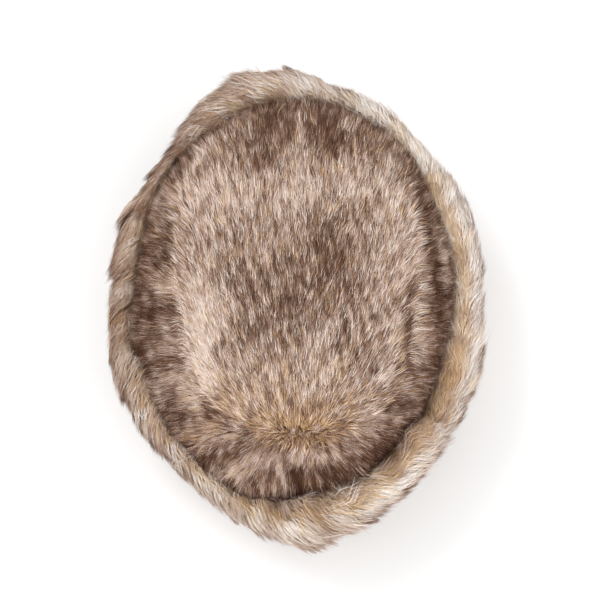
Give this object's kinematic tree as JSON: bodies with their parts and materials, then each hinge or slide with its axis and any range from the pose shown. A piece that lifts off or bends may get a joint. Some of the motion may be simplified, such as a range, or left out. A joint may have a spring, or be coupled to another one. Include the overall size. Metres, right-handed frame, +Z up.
{
  "type": "faux fur cossack hat",
  "caption": "Oval faux fur hat with a domed top panel, a furry side band and a deep turned-up cuff, open underneath for the head.",
  "frame": {"origin": "middle of the fur outline, on the plane that the rim rests on", "axes": "+Z up out of the crown, Y along the long axis with the crown's back seam towards -Y, X across"},
  "size_m": [0.2122, 0.2752, 0.1337],
  "materials": {
    "crown_fur": "deep straight pile, golden root, cream middle and brown tips, mottled",
    "band_fur": "deep straight pile, dark brown mottled with cream, on plain woven backing",
    "cuff_fur": "long straight pile, golden root, cream middle and short brown tips"
  },
  "bodies": {
    "root": {"crown_top": "crown_fur", "crown_wall": "band_fur", "cuff": "cuff_fur"}
  },
  "joints": []
}
